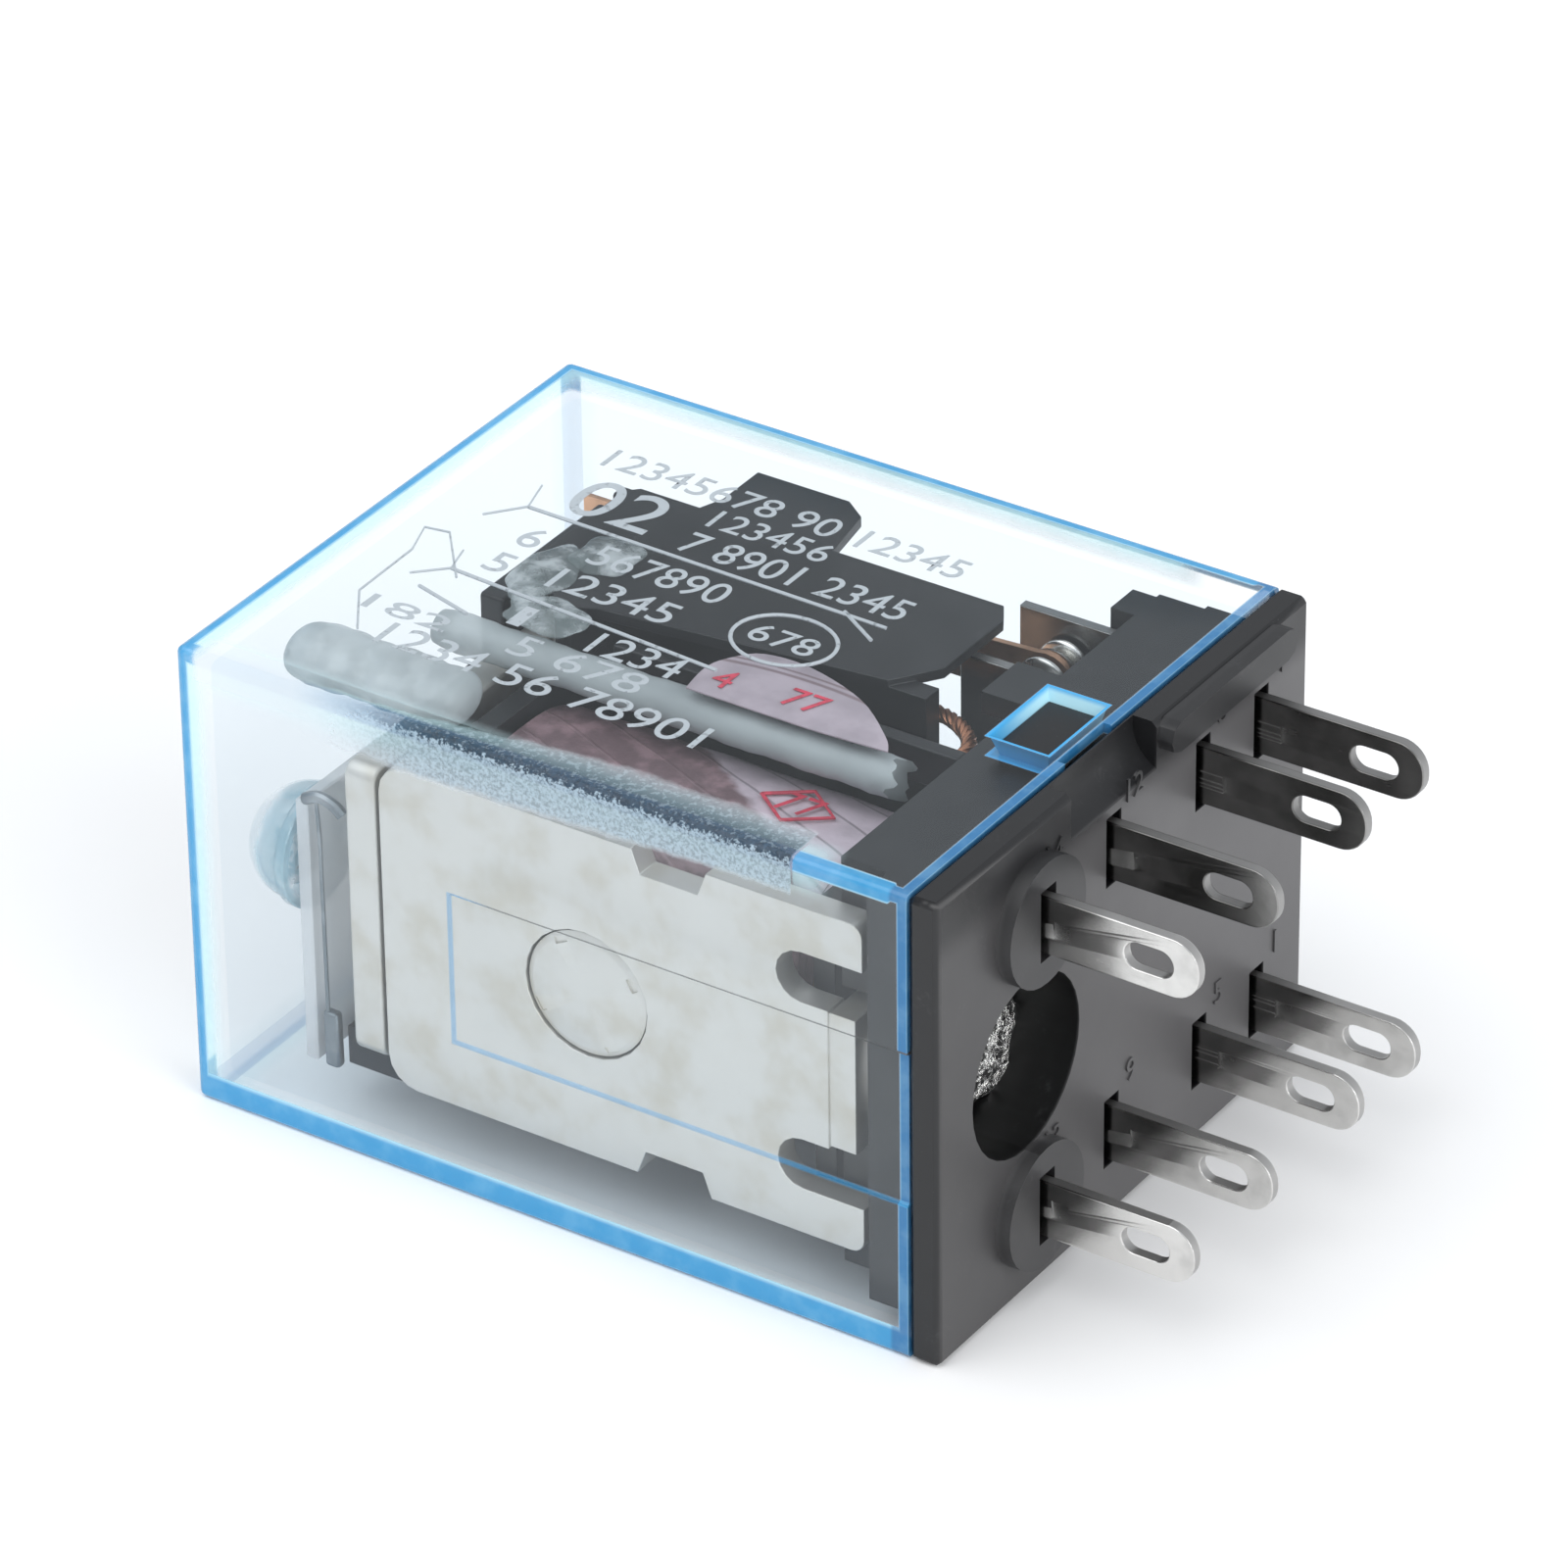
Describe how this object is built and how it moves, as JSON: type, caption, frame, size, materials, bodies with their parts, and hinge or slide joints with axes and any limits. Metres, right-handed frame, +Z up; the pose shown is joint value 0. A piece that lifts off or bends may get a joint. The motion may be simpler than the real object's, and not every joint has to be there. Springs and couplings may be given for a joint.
{
  "type": "plug in relay",
  "caption": "Plug-in power relay: clear cover over a coil, hinged armature and changeover contacts, with flat solder blades on its base.",
  "frame": {"origin": "centre of the base's seating face, where the blades come out", "axes": "+X out along the blades, +Y from the coil side to the contact side across the wide face, +Z up with the relay lying on its wide side"},
  "size_m": [0.0435, 0.0274, 0.0214],
  "materials": {
    "clear_cover": "clear pale blue polycarbonate, polished, with a fine grain on two long edges",
    "black_moulding": "black glass-filled moulding, satin",
    "tinned_brass": "tin-plated brass, bright with fine rolling marks",
    "nickel_steel": "nickel-plated steel, satin",
    "silver_contact": "silver alloy, polished by coining",
    "spring_bronze": "phosphor bronze strip, rolled",
    "copper_braid": "bare copper braid",
    "winding_copper": "enamelled copper wire",
    "wrap_tape": "pinkish-white wrapping paper and tape",
    "spring_steel": "drawn spring wire",
    "led_epoxy": "water-clear epoxy",
    "board_laminate": "thin laminate board",
    "milky_sleeve": "milky translucent sleeving"
  },
  "bodies": {
    "relay": {"cover": "clear_cover", "base": "black_moulding", "coil_terminal_upper": "tinned_brass", "coil_terminal_lower": "tinned_brass", "common_terminal_upper": "tinned_brass", "common_terminal_lower": "tinned_brass", "no_terminal_upper": "tinned_brass", "no_terminal_lower": "tinned_brass", "nc_terminal_upper": "tinned_brass", "nc_terminal_lower": "tinned_brass", "no_contact_upper": "silver_contact", "no_contact_lower": "silver_contact", "nc_contact_upper": "silver_contact", "nc_contact_lower": "silver_contact", "yoke": "nickel_steel", "yoke_disc": "nickel_steel", "core": "nickel_steel", "bobbin": "black_moulding", "winding": "winding_copper", "coil_wrap": "wrap_tape", "return_spring": "spring_steel", "flexible_lead_upper": "copper_braid", "flexible_lead_lower": "copper_braid", "led": "led_epoxy", "led_board": "board_laminate", "resistor_sleeve": "milky_sleeve", "lead_sleeve": "milky_sleeve"},
    "armature": {"armature": "nickel_steel", "carrier": "black_moulding", "moving_spring_upper": "spring_bronze", "moving_spring_lower": "spring_bronze", "moving_contact_upper": "silver_contact", "moving_contact_lower": "silver_contact"}
  },
  "joints": [
    {"name": "armature_hinge", "type": "hinge", "parent": "relay", "child": "armature", "pos_m": [-0.0274, -0.01185, 0], "axis": [0, 0, -1], "range_deg": [0, 2.8], "stiffness_Nm_per_rad": 0.05, "springref_deg": -2.86, "deforming": ["return_spring", "flexible_lead_upper", "flexible_lead_lower"]}
  ]
}
